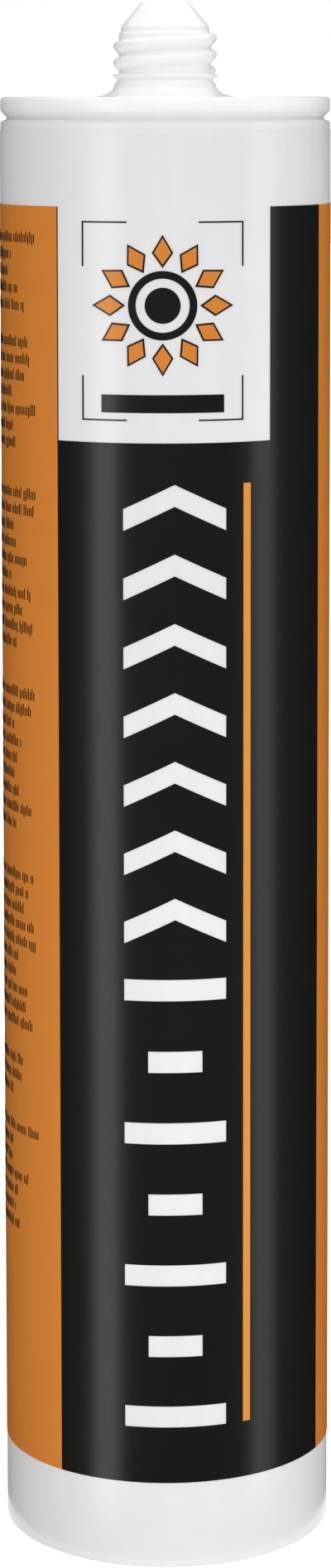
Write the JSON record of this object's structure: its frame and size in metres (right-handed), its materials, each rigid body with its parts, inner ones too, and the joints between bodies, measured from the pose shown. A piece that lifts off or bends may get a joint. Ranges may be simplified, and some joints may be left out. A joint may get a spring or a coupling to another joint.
{
  "type": "caulk tube",
  "caption": "Plastic sealant cartridge with a threaded closed nose, a grooved head, a printed barrel and a sliding piston in its open rear end.",
  "frame": {"origin": "centre of the open rear end, on the surface that the cartridge stands on", "axes": "+Z along the barrel towards the nose, -Y to the front of the print"},
  "size_m": [0.0498, 0.0498, 0.232],
  "materials": {
    "white_polyethylene": "satin",
    "piston_polyethylene": "satin",
    "sealant_paste": "satin",
    "orange_ink": "satin",
    "pale_orange_ink": "satin",
    "black_ink": "satin"
  },
  "bodies": {
    "cartridge_body": {"cartridge": "white_polyethylene", "sealant": "sealant_paste", "orange_field": "orange_ink", "black_panel": "black_ink", "orange_rule": "pale_orange_ink", "emblem_petals": "orange_ink", "emblem_hub": "black_ink", "name_bar": "black_ink"},
    "piston_body": {"piston": "piston_polyethylene"}
  },
  "joints": [
    {"name": "piston_slide", "type": "slide", "parent": "cartridge_body", "child": "piston_body", "axis": [0, 0, 1], "range_m": [0, 0.1847], "deforming": ["sealant"]}
  ]
}
